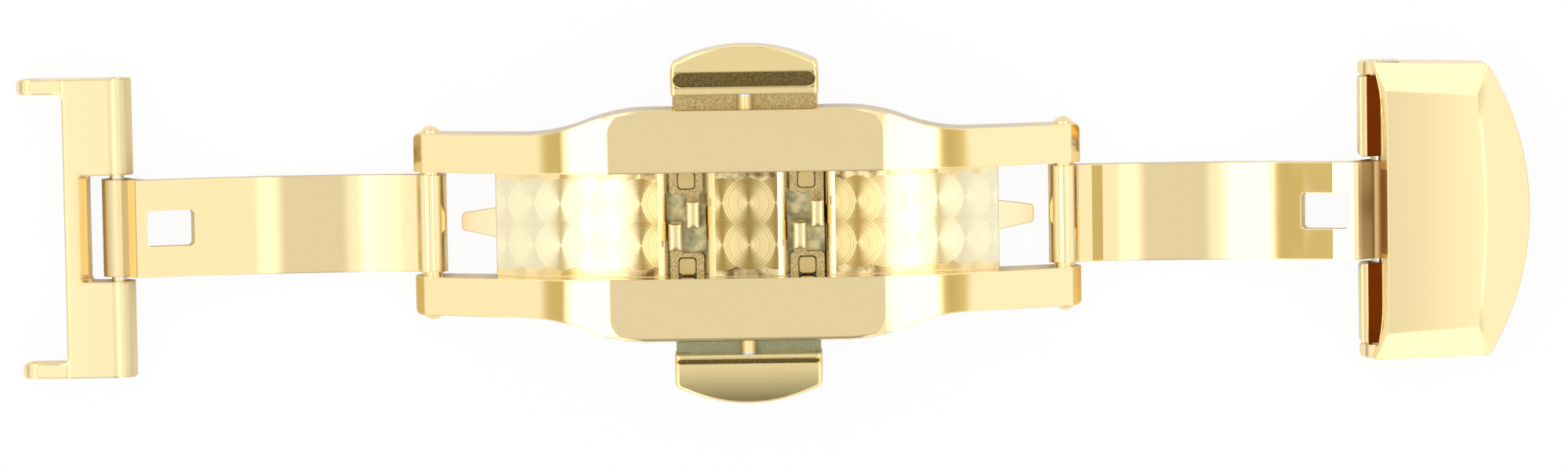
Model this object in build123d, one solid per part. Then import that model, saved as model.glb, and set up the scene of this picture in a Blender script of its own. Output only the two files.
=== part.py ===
from build123d import *
import math
import os

# Butterfly clasp with two push buttons for an 18 mm strap, lying open.
# Millimetres and degrees. X runs along the strap, Y across it, Z points away from the wrist.
# Every piece is drawn about the middle of the mechanism and moved to the origin at the end.

# Strap and general fits
strap_width = 18.0
running_gap = 0.03
fixed_gap = 0.01
overrun = 2.0

# Centre frame: two arched rails joined by a deck in three plates
hinge_spacing = 42.9
rail_end_radius = 1.1
rail_end_width = 2.6
rail_middle_width = 4.25
rail_flare_start = 6.5
rail_flare_end = 15.0
rail_corner = 0.4
rail_end_chamfer = 0.6
rail_edge_round = 0.25
rail_arc_over_blade = 1.15
rail_over_blade = 0.23
mechanism_space = 1.82
deck_thickness = 0.85
deck_end_gap = 3.4
deck_edge_round = 0.35
window_inner_x = 2.73
window_length = 2.61

# Blades: arched strips with a knuckle at each end and a window for the hooks
blade_width = 6.6
blade_thickness = 0.9
blade_arc_radius = 45.5
blade_side_gap = 0.25
blade_deck_gap = 0.05
frame_knuckle_radius = 1.05
end_knuckle_radius = 1.05
blade_window_width = 2.44
blade_window_corner = 0.3
blade_window_inner_gap = 0.3
blade_window_outer_gap = 0.85
crank_foot_gap = 0.1

# Hinge pins in the frame
hinge_pin_radius = 0.7
hinge_pin_dome = 0.43

# End pins, each through a blade and the piece that holds the strap
end_pin_radius = 0.5
end_pin_recess = 0.12
end_pin_closed_x = 1.45
closed_gap = 0.2

# Push buttons
press_travel = 0.75
button_spare_gap = 0.2
button_half_width = 4.95
button_depth = 3.3
button_arch_rise = 1.22
button_height = 3.75
button_below_rail_top = 0.15
upper_lip_depth = 0.42
upper_lip_drop = 0.6
upper_bevel_run = 1.14
lower_lip_depth = 0.2
lower_lip_drop = 0.38
lower_bevel_run = 0.4
button_rim_drop = 0.5
button_corner = 0.45
button_edge_round = 0.25
button_foot_chamfer = 0.5
groove_depth = 0.08
groove_end_margin = 0.19
groove_side_margin = 0.06
groove_corner_share = 0.48
joint_depth = 1.3

# Latch slides: a plate with two slotted legs, each with a hook
slide_thickness = 0.8
slide_shoulder_reach = 0.25
slide_tail_inset = 0.08
slide_tongue_inset = 1.05
slide_side_gap = 0.06
slide_gap = 0.05
slide_depth_below_deck = 1.05
slide_corner = 0.3
leg_inner_y = 2.0
leg_inner_margin = 0.17
leg_root_depth = 0.5
slide_shoulder_depth = 0.6
slot_wall = 0.3
hook_inner_margin = 0.41
hook_outer_margin = 0.14
hook_spacing_gap = 0.34
hook_back = 0.16
hook_catch = 0.42
hook_neck_gap = 0.07
hook_lip_thickness = 0.32
hook_lip_gap = 0.06
hook_round = 0.2

# Bottom cover with four guide bosses and two ribs
cover_plate_thickness = 0.6
cover_plate_half_length = 13.0
pad_half_length = 5.9
boss_size = 1.1
boss_corner = 0.25
boss_rise = 0.1
rib_inset = 0.6
rib_length = 1.2
rib_half_width = 1.5

# Kick springs under the deck ends
leaf_thickness = 0.3
leaf_clearance = 0.1
leaf_root_x = 8.6
leaf_half_width = 2.2
leaf_corner = 0.4
leaf_shoulder_inset = 1.0
tongue_root_half_width = 1.0
tongue_tip_half_width = 0.58
tongue_tip_gap = 0.98
tongue_tip_round = 0.3

# Guide pins and button springs
guide_pin_radius = 0.55
guide_pin_wall = 0.2
guide_pin_chamfer = 0.1
guide_share = 0.45
bore_end_wall = 0.45
spring_wire_radius = 0.1
spring_wire_sides = 8
spring_radial_gap = 0.06
spring_turns = 4
spring_end_gap = 0.02

# Strap bracket, which holds one strap end by a spring bar
bracket_radius = 1.1
bracket_plate_top = 1.3
bracket_plate_length = 3.5
bracket_facet_inset = 0.27
bracket_bevel_run = 0.67
bracket_corner = 0.2
strap_clearance = 0.15
lug_thickness = 1.0
lug_tip_round = 0.4
lug_root_round = 0.5
spring_bar_distance = 5.6
spring_bar_hole_radius = 0.5
notch_depth = 1.95
notch_side_gap = 0.32
notch_corner = 0.3
notch_slope_run = 0.58
notch_slope_drop = 0.7

# Strap cover, a loop over the other strap end
cover_wall = 0.9
cover_narrowing = 0.2
cover_shoulder_x = 7.25
cover_bulge = 2.75
cover_dip = 0.55
cover_corner = 0.35
cover_edge_height = 3.6
cover_facet_height = 4.6
cover_ceiling = 3.1
cover_straight_share = 0.63
cover_lug_radius = 1.35
cover_lug_corner = 0.3
facet_left_margin = 0.33
facet_side_margin = 1.8
facet_narrowing = 0.4
facet_right_margin = 0.85
facet_bulge = 0.56
facet_dip = 0.12
facet_corner = 0.06

# Clamp flap under the strap cover, and its peg
flap_gap = 0.1
flap_thickness = 0.9
flap_length = 7.6
flap_corner = 0.8
flap_notch_depth = 2.3
flap_barrel_radius = 0.75
flap_rim_reach = 1.4
flap_rim_width = 0.53
flap_rim_rise = 1.35
flap_rim_round = 0.22
flap_heel_round = 1.08
flap_mouth_corner = 0.35
peg_distance = 4.4
peg_radius = 0.8
peg_shank_radius = 0.45
peg_height = 1.7
peg_chamfer = 0.35

# Places in the side view, where the arch centre is the middle of every concentric arc
hinge_x = hinge_spacing / 2
hinge_z = rail_end_radius
arch_centre_z = hinge_z - math.sqrt(blade_arc_radius**2 - hinge_x**2)
blade_inner_radius = blade_arc_radius - blade_thickness / 2
blade_outer_radius = blade_arc_radius + blade_thickness / 2
deck_top_radius = blade_inner_radius - blade_deck_gap
deck_under_radius = deck_top_radius - deck_thickness
underside_rise = arch_centre_z + deck_under_radius - mechanism_space
rail_arc_radius = blade_outer_radius + rail_arc_over_blade
rail_top_z = arch_centre_z + blade_outer_radius + rail_over_blade
window_outer_x = window_inner_x + window_length
window_middle_x = window_inner_x + window_length / 2
knuckle_edge_x = hinge_x - frame_knuckle_radius
deck_half_length = knuckle_edge_x - deck_end_gap
leaf_shoulder_x = deck_half_length - leaf_shoulder_inset
tongue_tip_x = knuckle_edge_x - tongue_tip_gap
rib_x = leaf_root_x + rib_inset

# Places across the strap
channel_half = blade_width / 2 + blade_side_gap
rail_end_y = channel_half + rail_end_width
rail_middle_y = channel_half + rail_middle_width
tunnel_half_width = strap_width / 2 + strap_clearance
bracket_half_width = tunnel_half_width + lug_thickness
notch_half_width = blade_width / 2 + notch_side_gap
cover_half_width = tunnel_half_width + cover_wall
flap_half_width = tunnel_half_width - flap_gap
slide_half_width = button_half_width + slide_shoulder_reach
slide_tail_half_width = button_half_width - slide_tail_inset
slide_tongue_half_width = button_half_width - slide_tongue_inset

# Levels of the latch, from the slide up to the hook
slide_top_z = arch_centre_z + deck_top_radius - slide_depth_below_deck
slide_low_z = slide_top_z - slide_thickness
pad_top_z = slide_low_z - slide_gap
leg_inner_x = window_inner_x + leg_inner_margin
hook_inner_x = window_inner_x + hook_inner_margin
hook_outer_x = window_outer_x - hook_outer_margin
hook_width = (hook_outer_x - hook_inner_x - hook_spacing_gap) / 2
hook_neck_y = blade_window_width / 2 - hook_neck_gap
hook_lip_y = blade_window_width / 2 + hook_catch
hook_lip_low_z = arch_centre_z + math.sqrt(blade_outer_radius**2 - hook_inner_x**2) + hook_lip_gap
hook_top_z = hook_lip_low_z + hook_lip_thickness
boss_y = leg_inner_y + slot_wall + slide_gap + boss_size / 2
leg_root_y = boss_y + boss_size / 2 + press_travel + slide_gap + leg_root_depth

# Levels and depths of the button drive
button_inner_y = rail_middle_y + press_travel + button_spare_gap
button_top_z = rail_top_z - button_below_rail_top
button_low_z = button_top_z - button_height
guide_pin_z = slide_top_z + slide_gap + guide_pin_wall + guide_pin_radius
guide_bore_radius = guide_pin_radius + running_gap
guide_bore_end_y = channel_half + bore_end_wall
guide_pin_end_y = rail_middle_y - rail_middle_width * guide_share

# The end pins when the clasp is closed, and how far a blade then turns to lie open on a table
end_pin_closed_z = rail_top_z + closed_gap + bracket_radius
end_pin_run = hinge_x - end_pin_closed_x
end_pin_rise = end_pin_closed_z - hinge_z
blade_reach = math.hypot(end_pin_run, end_pin_rise)
end_pin_open_z = bracket_radius
closed_angle = math.degrees(math.atan2(end_pin_rise, end_pin_run))
open_angle = 180.0 - math.degrees(math.asin((end_pin_open_z - hinge_z) / blade_reach))
fold_angle = open_angle - closed_angle
end_pin_open_x = hinge_x + math.sqrt(blade_reach**2 - (end_pin_open_z - hinge_z) ** 2)

# The origin is under the middle of the open clasp
left_reach = end_pin_open_x + spring_bar_distance + bracket_radius
right_reach = end_pin_open_x + cover_shoulder_x + cover_bulge
origin_x = (right_reach - left_reach) / 2


def across(profile, low, high):
    """Prism of an XZ profile from y = low to y = high."""
    return extrude(Plane.XZ.offset(-high) * profile, high - low)


def upward(profile, low, high):
    """Prism of an XY profile from z = low to z = high."""
    return extrude(Plane.XY.offset(low) * profile, high - low)


def lengthwise(profile, low, high):
    """Prism of a YZ profile from x = low to x = high."""
    return extrude(Plane.YZ.offset(low) * profile, high - low)


def block(x_low, x_high, y_low, y_high, z_low, z_high):
    """Box between two corners."""
    middle = ((x_low + x_high) / 2, (y_low + y_high) / 2, (z_low + z_high) / 2)
    return Pos(*middle) * Box(x_high - x_low, y_high - y_low, z_high - z_low)


def rectangle(x_low, x_high, y_low, y_high):
    """Flat rectangle between two corners."""
    return Pos((x_low + x_high) / 2, (y_low + y_high) / 2) * Rectangle(x_high - x_low, y_high - y_low)


def polygon(*points):
    """Flat face through points in order."""
    return make_face(Polyline(*points, close=True))


def disc(x, z, radius):
    """Flat disc for a side profile."""
    return Pos(x, z) * Circle(radius)


def rod(x, z, radius, low, high):
    """Cylinder along Y."""
    return across(disc(x, z, radius), low, high)


def arc_z(radius, x):
    """Height of the circle of this radius about the arch centre."""
    return arch_centre_z + math.sqrt(radius**2 - x**2)


def arc(radius, x_from, x_to):
    """Arc about the arch centre between two places along the strap."""
    x_middle = (x_from + x_to) / 2
    return ThreePointArc(*[(x, arc_z(radius, x)) for x in (x_from, x_middle, x_to)])


def band(low_radius, high_radius, x_from, x_to):
    """XZ face between two arcs about the arch centre."""
    low = arc(low_radius, x_from, x_to)
    high = arc(high_radius, x_from, x_to)
    return make_face([low, Line(low @ 1, high @ 1), high, Line(high @ 0, low @ 0)])


def turned(solid):
    """The same piece on the other side, turned half a turn about Z."""
    return Rot(0, 0, 180) * solid


def both_sides(solid):
    """A solid and its mirror image across the middle of the strap."""
    return solid + mirror(solid, Plane.XZ)


def underside_arc(lift):
    """Arc of the clasp's underside, raised by lift."""
    return ThreePointArc((-hinge_x, lift), (0, underside_rise + lift), (hinge_x, lift))


def rail_side_profile():
    """XZ outline of a rail: arched below, arched above with a flat facet, and a chamfer at each end."""
    end_x = hinge_x + rail_end_radius
    shoulder_x = end_x - rail_end_chamfer
    facet_half = math.sqrt(rail_arc_radius**2 - (rail_top_z - arch_centre_z) ** 2)
    below = underside_arc(0)
    right_heel = TangentArc((hinge_x, 0), (end_x, hinge_z), tangent=(1, 0))
    left_heel = TangentArc((-hinge_x, 0), (-end_x, hinge_z), tangent=(-1, 0))
    right_flank = arc(rail_arc_radius, shoulder_x, facet_half)
    left_flank = arc(rail_arc_radius, -facet_half, -shoulder_x)
    chamfer_z = (right_flank @ 0).Y - rail_end_chamfer
    right_end = Polyline((end_x, hinge_z), (end_x, chamfer_z), right_flank @ 0)
    left_end = Polyline(left_flank @ 1, (-end_x, chamfer_z), (-end_x, hinge_z))
    facet = Line(right_flank @ 1, left_flank @ 0)
    lines = [below, right_heel, right_end, right_flank, facet, left_flank, left_end, left_heel]
    return make_face([edge for line in lines for edge in line.edges()])


def rail_plan():
    """XY outline of the rail at +Y: narrow at the hinges and flared at the mechanism."""
    end_x = hinge_x + rail_end_radius
    flare_middle = ((rail_flare_start + rail_flare_end) / 2, (rail_end_y + rail_middle_y) / 2)
    right_out = TangentArc((rail_flare_start, rail_middle_y), flare_middle, tangent=(1, 0))
    right_in = TangentArc((rail_flare_end, rail_end_y), flare_middle, tangent=(-1, 0))
    left_out = mirror(right_out, Plane.YZ)
    left_in = mirror(right_in, Plane.YZ)
    right_end = Polyline((rail_flare_end, rail_end_y), (end_x, rail_end_y), (end_x, channel_half))
    left_end = mirror(right_end, Plane.YZ)
    inner = Line((end_x, channel_half), (-end_x, channel_half))
    outer = Line((-rail_flare_start, rail_middle_y), (rail_flare_start, rail_middle_y))
    lines = [outer, right_out, right_in, right_end, inner, left_end, left_in, left_out]
    plan = make_face([edge for line in lines for edge in line.edges()])
    outer_corners = plan.vertices().filter_by(lambda v: abs(v.X) > hinge_x and v.Y > channel_half + fixed_gap)
    return fillet(outer_corners, rail_corner)


def center_frame():
    """Two arched rails joined by the deck, with pin bores and a tunnel and a blind bore for each button."""
    blank = upward(rail_plan(), -overrun, rail_top_z)
    outer_top = blank.edges().filter_by(
        lambda e: e.center().Y > rail_end_y - fixed_gap and e.center().Z > rail_top_z - fixed_gap
    )
    rail = across(rail_side_profile(), channel_half, rail_middle_y) & fillet(outer_top, rail_edge_round)
    deck_half = channel_half + rail_end_width / 2
    frame = both_sides(rail)
    for x_from, x_to in (
        (-deck_half_length, -window_outer_x),
        (-window_inner_x, window_inner_x),
        (window_outer_x, deck_half_length),
    ):
        plate = band(deck_under_radius, deck_top_radius, x_from, x_to)
        top_corners = plate.vertices().filter_by(lambda v: v.Y > arc_z(deck_under_radius, v.X) + fixed_gap)
        window_corners = top_corners.filter_by(lambda v: abs(v.X) < window_outer_x + fixed_gap)
        frame += across(fillet(window_corners, deck_edge_round), -deck_half, deck_half)
    tunnel_half = max(slide_half_width, hook_outer_x) + slide_side_gap
    frame -= both_sides(
        block(-tunnel_half, tunnel_half, 0, rail_middle_y + overrun, pad_top_z, slide_top_z + slide_gap)
    )
    frame -= both_sides(rod(0, guide_pin_z, guide_bore_radius, guide_bore_end_y, rail_middle_y + overrun))
    for x in (-hinge_x, hinge_x):
        reach = rail_end_y + overrun
        frame -= rod(x, hinge_z, hinge_pin_radius + fixed_gap, -reach, reach)
    return frame


def bottom_cover():
    """Arched plate that closes the mechanism from below, with a flat pad, guide bosses and spring ribs."""
    low = underside_arc(0)
    hollow = make_face([low, Line(low @ 1, low @ 0)])
    high = underside_arc(cover_plate_thickness)
    solid_below = make_face([high, Line(high @ 1, low @ 1), Line(low @ 1, low @ 0), Line(low @ 0, high @ 0)])
    plate = rectangle(-cover_plate_half_length, cover_plate_half_length, 0, rail_top_z) & solid_below
    pad = rectangle(-pad_half_length, pad_half_length, 0, pad_top_z)
    cover = across(plate + pad - hollow, -channel_half, channel_half)
    leaf_low_radius = deck_under_radius - leaf_thickness - fixed_gap
    leaf_room = band(leaf_low_radius - leaf_clearance, deck_top_radius, leaf_root_x, hinge_x)
    for side in (-1, 1):
        cover -= across(leaf_room if side > 0 else mirror(leaf_room, Plane.YZ), -channel_half, channel_half)
        x_from, x_to = sorted((side * rib_x, side * (rib_x + rib_length)))
        leaf_side = arc(leaf_low_radius, x_from, x_to)
        foot = Polyline(leaf_side @ 1, (x_to, 0), (x_from, 0), leaf_side @ 0)
        rib = make_face([leaf_side, *foot.edges()])
        cover += across(rib - hollow, -rib_half_width, rib_half_width)
    boss_plan = fillet(Rectangle(boss_size, boss_size).vertices(), boss_corner)
    boss = upward(boss_plan, pad_top_z - cover_plate_thickness / 2, slide_top_z + boss_rise)
    for x in (-window_middle_x, window_middle_x):
        for y in (-boss_y, boss_y):
            cover += Pos(x, y) * boss
    return cover


def kick_spring():
    """Leaf under the right end of the deck, whose tongue reaches out to the blade's knuckle."""
    strip = band(deck_under_radius - leaf_thickness, deck_under_radius, leaf_root_x, tongue_tip_x)
    body = fillet(
        rectangle(leaf_root_x, leaf_shoulder_x, -leaf_half_width, leaf_half_width).vertices(), leaf_corner
    )
    tongue = polygon(
        (leaf_shoulder_x - leaf_corner, -tongue_root_half_width),
        (deck_half_length, -tongue_root_half_width),
        (tongue_tip_x, -tongue_tip_half_width),
        (tongue_tip_x, tongue_tip_half_width),
        (deck_half_length, tongue_root_half_width),
        (leaf_shoulder_x - leaf_corner, tongue_root_half_width),
    )
    tip = tongue.vertices().filter_by(lambda v: v.X > tongue_tip_x - fixed_gap)
    plan = body + fillet(tip, tongue_tip_round)
    return across(strip, -leaf_half_width, leaf_half_width) & upward(plan, 0, rail_top_z)


def domed_pin(radius, half_length, dome):
    """Round pin along Y with a domed head at each end."""
    cap_radius = (radius**2 + dome**2) / (2 * dome)
    cap_centre = half_length + dome - cap_radius
    cap_point = (radius / 2, cap_centre + math.sqrt(cap_radius**2 - radius**2 / 4))
    cap = ThreePointArc((radius, half_length), cap_point, (0, half_length + dome))
    edges = [cap, Line(cap @ 1, (0, 0)), Line((0, 0), (radius, 0)), Line((radius, 0), cap @ 0)]
    return both_sides(revolve(make_face(edges), Axis.Y))


def hinge_pin(x):
    """Frame pin with its domed ends standing proud of the rails."""
    return Pos(x, 0, hinge_z) * domed_pin(hinge_pin_radius, rail_end_y, hinge_pin_dome)


def closed_blade():
    """Left blade as it lies folded on the deck: an arched strip, cranked up to the end pin."""
    crank_foot_x = hook_inner_x - crank_foot_gap
    crank_root_x = crank_foot_x - blade_thickness
    profile = band(blade_inner_radius, blade_outer_radius, -hinge_x, -crank_root_x)
    profile += disc(-hinge_x, hinge_z, frame_knuckle_radius)
    profile += disc(-end_pin_closed_x, end_pin_closed_z, end_knuckle_radius)
    profile += polygon(
        (-crank_foot_x, arc_z(blade_outer_radius, crank_foot_x)),
        (-end_pin_closed_x - end_knuckle_radius, end_pin_closed_z),
        (-end_pin_closed_x, end_pin_closed_z - end_knuckle_radius),
        (-crank_root_x, arc_z(blade_inner_radius, crank_root_x)),
    )
    blade = across(profile, -blade_width / 2, blade_width / 2)
    reach = blade_width / 2 + overrun
    blade -= rod(-hinge_x, hinge_z, hinge_pin_radius + running_gap, -reach, reach)
    blade -= rod(-end_pin_closed_x, end_pin_closed_z, end_pin_radius + running_gap, -reach, reach)
    window_from = -hook_outer_x - blade_window_outer_gap
    window_to = -hook_inner_x + blade_window_inner_gap
    window = rectangle(window_from, window_to, -blade_window_width / 2, blade_window_width / 2)
    return blade - upward(fillet(window.vertices(), blade_window_corner), 0, rail_top_z + overrun)


def open_blade():
    """Left blade turned about its frame pin until the clasp lies open."""
    return closed_blade().rotate(Axis((-hinge_x, 0, hinge_z), (0, 1, 0)), -fold_angle)


def slide_plan():
    """XY outline of the upper latch slide's plate, from its legs to the tongue in the button."""
    tail_y = rail_middle_y - slide_shoulder_depth
    plan = rectangle(-slide_half_width, slide_half_width, leg_root_y, tail_y)
    plan += rectangle(-slide_tail_half_width, slide_tail_half_width, leg_root_y, button_inner_y)
    tongue_y = button_inner_y + joint_depth
    plan += rectangle(-slide_tongue_half_width, slide_tongue_half_width, leg_root_y, tongue_y)
    slot_half = boss_size / 2 + slide_gap
    for side in (-1, 1):
        x_from, x_to = sorted((side * leg_inner_x, side * hook_outer_x))
        leg = rectangle(x_from, x_to, leg_inner_y, leg_root_y + slide_corner)
        corners = leg.vertices().filter_by(lambda v: v.Y < leg_inner_y + fixed_gap)
        slot_x = side * window_middle_x
        slot = rectangle(
            slot_x - slot_half, slot_x + slot_half, boss_y - slot_half, boss_y + slot_half + press_travel
        )
        plan += fillet(corners, slide_corner)
        plan -= fillet(slot.vertices(), boss_corner)
    return plan


def hook(x_from, x_to):
    """Hook on the end of a leg, with its neck and its lip towards the button."""
    neck = block(x_from, x_to, -hook_back, leg_inner_y + slide_corner, slide_low_z, slide_top_z)
    post = block(x_from, x_to, -hook_back, hook_neck_y, slide_low_z, hook_top_z)
    lip = block(x_from, x_to, -hook_back, hook_lip_y, hook_lip_low_z, hook_top_z)
    head = post + lip
    top = head.edges().filter_by(lambda e: e.center().Z > hook_top_z - fixed_gap)
    return neck + fillet(top, hook_round)


def latch_slide():
    """Upper latch slide: a sliding plate with two legs and two hooks."""
    slide = upward(slide_plan(), slide_low_z, slide_top_z)
    slide += hook(-hook_inner_x - hook_width, -hook_inner_x)
    slide += hook(hook_outer_x - hook_width, hook_outer_x)
    return slide


def button_head(lip_depth, lip_drop, bevel_run):
    """Push button at +Y: an arched block with a crowned face, a grooved bevel and a lip by the rail."""
    outer_y = button_inner_y + button_depth
    shoulder_y = outer_y - button_arch_rise
    sides = Polyline(
        (button_half_width, shoulder_y),
        (button_half_width, button_inner_y),
        (-button_half_width, button_inner_y),
        (-button_half_width, shoulder_y),
    )
    arch = ThreePointArc(sides @ 1, (0, outer_y), sides @ 0)
    plan = make_face([*sides.edges(), arch])
    shoulders = plan.vertices().filter_by(lambda v: v.Y > button_inner_y + fixed_gap)
    plan = fillet(shoulders, button_corner)
    ridge_y = button_inner_y + lip_depth + bevel_run
    lip_z = button_top_z - lip_drop
    crest = TangentArc((ridge_y, button_top_z), (outer_y, button_top_z - button_rim_drop), tangent=(1, 0))
    rest = Polyline(
        crest @ 1,
        (outer_y, button_low_z + button_foot_chamfer),
        (outer_y - button_foot_chamfer, button_low_z),
        (button_inner_y, button_low_z),
        (button_inner_y, lip_z),
        (button_inner_y + lip_depth, lip_z),
        crest @ 0,
    )
    section = make_face([crest, *rest.edges()])
    head = lengthwise(section, -button_half_width, button_half_width)
    head &= upward(plan, button_low_z - overrun, button_top_z + overrun)
    rim = head.edges().filter_by(
        lambda e: e.center().Z > button_low_z + button_height / 2
        and (abs(e.center().X) > button_half_width - fixed_gap or e.center().Y > ridge_y + fixed_gap)
    )
    head = fillet(rim.filter_by(lambda e: e.center().Y > button_inner_y + fixed_gap), button_edge_round)
    bevel_middle = (0, ridge_y - bevel_run / 2, button_top_z - lip_drop / 2)
    bevel = Plane(origin=bevel_middle, x_dir=(1, 0, 0), z_dir=(0, -lip_drop, bevel_run))
    groove_length = 2 * (button_half_width - groove_end_margin)
    groove_width = math.hypot(bevel_run, lip_drop) - 2 * groove_side_margin
    groove_corner = groove_width * groove_corner_share
    groove = fillet(Rectangle(groove_length, groove_width).vertices(), groove_corner)
    head -= extrude(bevel.offset(-groove_depth) * groove, overrun)
    depth_y = button_inner_y + joint_depth + fixed_gap
    tongue_half = slide_tongue_half_width + fixed_gap
    head -= block(
        -tongue_half, tongue_half, 0, depth_y, slide_low_z - fixed_gap, slide_top_z + fixed_gap
    )
    return head - rod(0, guide_pin_z, guide_pin_radius + fixed_gap, 0, depth_y)


def guide_pin():
    """Upper button's guide pin, fixed in the button and running in the rail's blind bore."""
    pin = rod(0, guide_pin_z, guide_pin_radius, guide_pin_end_y, button_inner_y + joint_depth)
    return chamfer(pin.edges().filter_by(GeomType.CIRCLE), guide_pin_chamfer)


def button_spring():
    """Coil spring between the end of the guide pin and the floor of its bore."""
    coil_radius = guide_bore_radius - spring_radial_gap - spring_wire_radius
    low_y = guide_bore_end_y + spring_end_gap + spring_wire_radius
    length = guide_pin_end_y - spring_end_gap - spring_wire_radius - low_y
    path = Helix(length / spring_turns, length, coil_radius)
    wire = (path ^ 0) * RegularPolygon(spring_wire_radius, spring_wire_sides)
    coil = sweep(wire, path=path, is_frenet=True)
    return Pos(0, low_y, guide_pin_z) * Rot(-90, 0, 0) * coil


def end_pin(half_length):
    """Plain pin along Y through the left blade's free end, in the open clasp."""
    pin = rod(-end_pin_open_x, end_pin_open_z, end_pin_radius, -half_length, half_length)
    return chamfer(pin.edges().filter_by(GeomType.CIRCLE), guide_pin_chamfer)


def bracket_plan():
    """XY outline of the strap bracket: the plate and its two lugs, with rounded corners."""
    front_x = -end_pin_open_x + bracket_radius
    back_x = -end_pin_open_x - bracket_plate_length
    tip_x = -left_reach
    plan = rectangle(back_x, front_x, -bracket_half_width, bracket_half_width)
    plan += rectangle(tip_x, front_x, tunnel_half_width, bracket_half_width)
    plan += rectangle(tip_x, front_x, -bracket_half_width, -tunnel_half_width)
    roots = plan.vertices().filter_by(lambda v: abs(v.X - back_x) < fixed_gap)
    plan = fillet(roots, lug_root_round)
    plan = fillet(plan.vertices().filter_by(lambda v: v.X < tip_x + fixed_gap), lug_tip_round)
    return fillet(plan.vertices().filter_by(lambda v: v.X > front_x - fixed_gap), bracket_corner)


def strap_bracket():
    """Left end: a knuckled plate, notched for the blade, with two lugs drilled for a spring bar."""
    x, z = -end_pin_open_x, end_pin_open_z
    facet_x = x - bracket_facet_inset
    bevel_x = facet_x + bracket_bevel_run
    back_x = x - bracket_plate_length
    top_z = z + bracket_plate_top
    bar_x = x - spring_bar_distance
    bevel_z = z + math.sqrt(bracket_radius**2 - (bevel_x - x) ** 2)
    bevel = TangentArc((facet_x, top_z), (bevel_x, bevel_z), tangent=(1, 0))
    rest = Polyline((bevel_x, bevel_z), (x, z), (x, 0), (back_x, 0), (back_x, top_z), (facet_x, top_z))
    profile = disc(x, z, bracket_radius) + make_face([bevel, *rest.edges()])
    profile += disc(bar_x, z, bracket_radius)
    profile += polygon((bar_x, 0), (bar_x, z + bracket_radius), (back_x, top_z), (back_x, 0))
    bracket = across(profile, -bracket_half_width, bracket_half_width)
    bracket &= upward(bracket_plan(), -overrun, top_z + overrun)
    wall_x = x - notch_depth
    notch = rectangle(wall_x, x + overrun, -notch_half_width, notch_half_width)
    notch = fillet(notch.vertices().filter_by(lambda v: v.X < x), notch_corner)
    bracket -= upward(notch, -overrun, top_z + overrun)
    slope_x = wall_x - notch_slope_run
    slope_plan = rectangle(slope_x, x - bracket_radius, -notch_half_width, notch_half_width)
    slope_plan = fillet(slope_plan.vertices().filter_by(lambda v: v.X < wall_x), notch_corner)
    slope = polygon(
        (slope_x, top_z),
        (wall_x, top_z - notch_slope_drop),
        (wall_x + notch_corner, top_z - notch_slope_drop),
        (wall_x + notch_corner, top_z + overrun),
        (slope_x, top_z + overrun),
    )
    bracket -= across(slope, -notch_half_width, notch_half_width) & upward(slope_plan, 0, top_z + overrun)
    reach = bracket_half_width + overrun
    bracket -= rod(x, z, end_pin_radius + running_gap, -reach, reach)
    return bracket - rod(bar_x, z, spring_bar_hole_radius, -reach, reach)


def cover_outline(left_x, right_x, half_width, narrowing, bulge, dip, corner):
    """XY outline of the strap cover: a dipped left side, two converging sides and a bowed right side."""
    turn_y = half_width * cover_straight_share
    far_y = half_width - narrowing
    high = TangentArc((left_x, turn_y), (left_x - dip, half_width), tangent=(0, 1))
    low = TangentArc((left_x, -turn_y), (left_x - dip, -half_width), tangent=(0, -1))
    straight = Line((left_x, -turn_y), (left_x, turn_y))
    top = Line((left_x - dip, half_width), (right_x, far_y))
    bottom = Line((left_x - dip, -half_width), (right_x, -far_y))
    bow = ThreePointArc((right_x, far_y), (right_x + bulge, 0), (right_x, -far_y))
    outline = make_face([straight, high, top, bow, bottom, low])
    return fillet(outline.vertices().filter_by(lambda v: v.X > right_x - fixed_gap), corner)


def strap_cover():
    """Right end: a loop with a raised facet, bevelled all round, whose side walls reach to the end pin."""
    x, z = end_pin_open_x, end_pin_open_z
    shoulder_x = x + cover_shoulder_x
    outline = cover_outline(
        x, shoulder_x, cover_half_width, cover_narrowing, cover_bulge, cover_dip, cover_corner
    )
    facet = cover_outline(
        x + facet_left_margin,
        shoulder_x - facet_right_margin,
        cover_half_width - facet_side_margin,
        facet_narrowing,
        facet_bulge,
        facet_dip,
        facet_corner,
    )
    crown = loft([Pos(0, 0, cover_edge_height) * outline, Pos(0, 0, cover_facet_height) * facet], ruled=True)
    cover = upward(outline, 0, cover_edge_height) + crown
    far_x = right_reach + overrun
    cover -= block(0, far_x, -tunnel_half_width, tunnel_half_width, -overrun, cover_ceiling)
    cover -= block(shoulder_x, far_x, -cover_half_width, cover_half_width, -overrun, cover_ceiling)
    lug_profile = disc(x, z, cover_lug_radius) + rectangle(x, x + cover_lug_radius, 0, z + cover_lug_radius)
    lug_plan = rectangle(x - cover_lug_radius, x + cover_lug_radius, tunnel_half_width, cover_half_width)
    lug_plan = fillet(lug_plan.vertices().filter_by(lambda v: v.X < x), cover_lug_corner)
    lug = across(lug_profile, tunnel_half_width, cover_half_width) & upward(lug_plan, 0, cover_ceiling)
    cover += both_sides(lug)
    reach = cover_half_width + overrun
    return cover - rod(x, z, end_pin_radius + running_gap, -reach, reach)


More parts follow.
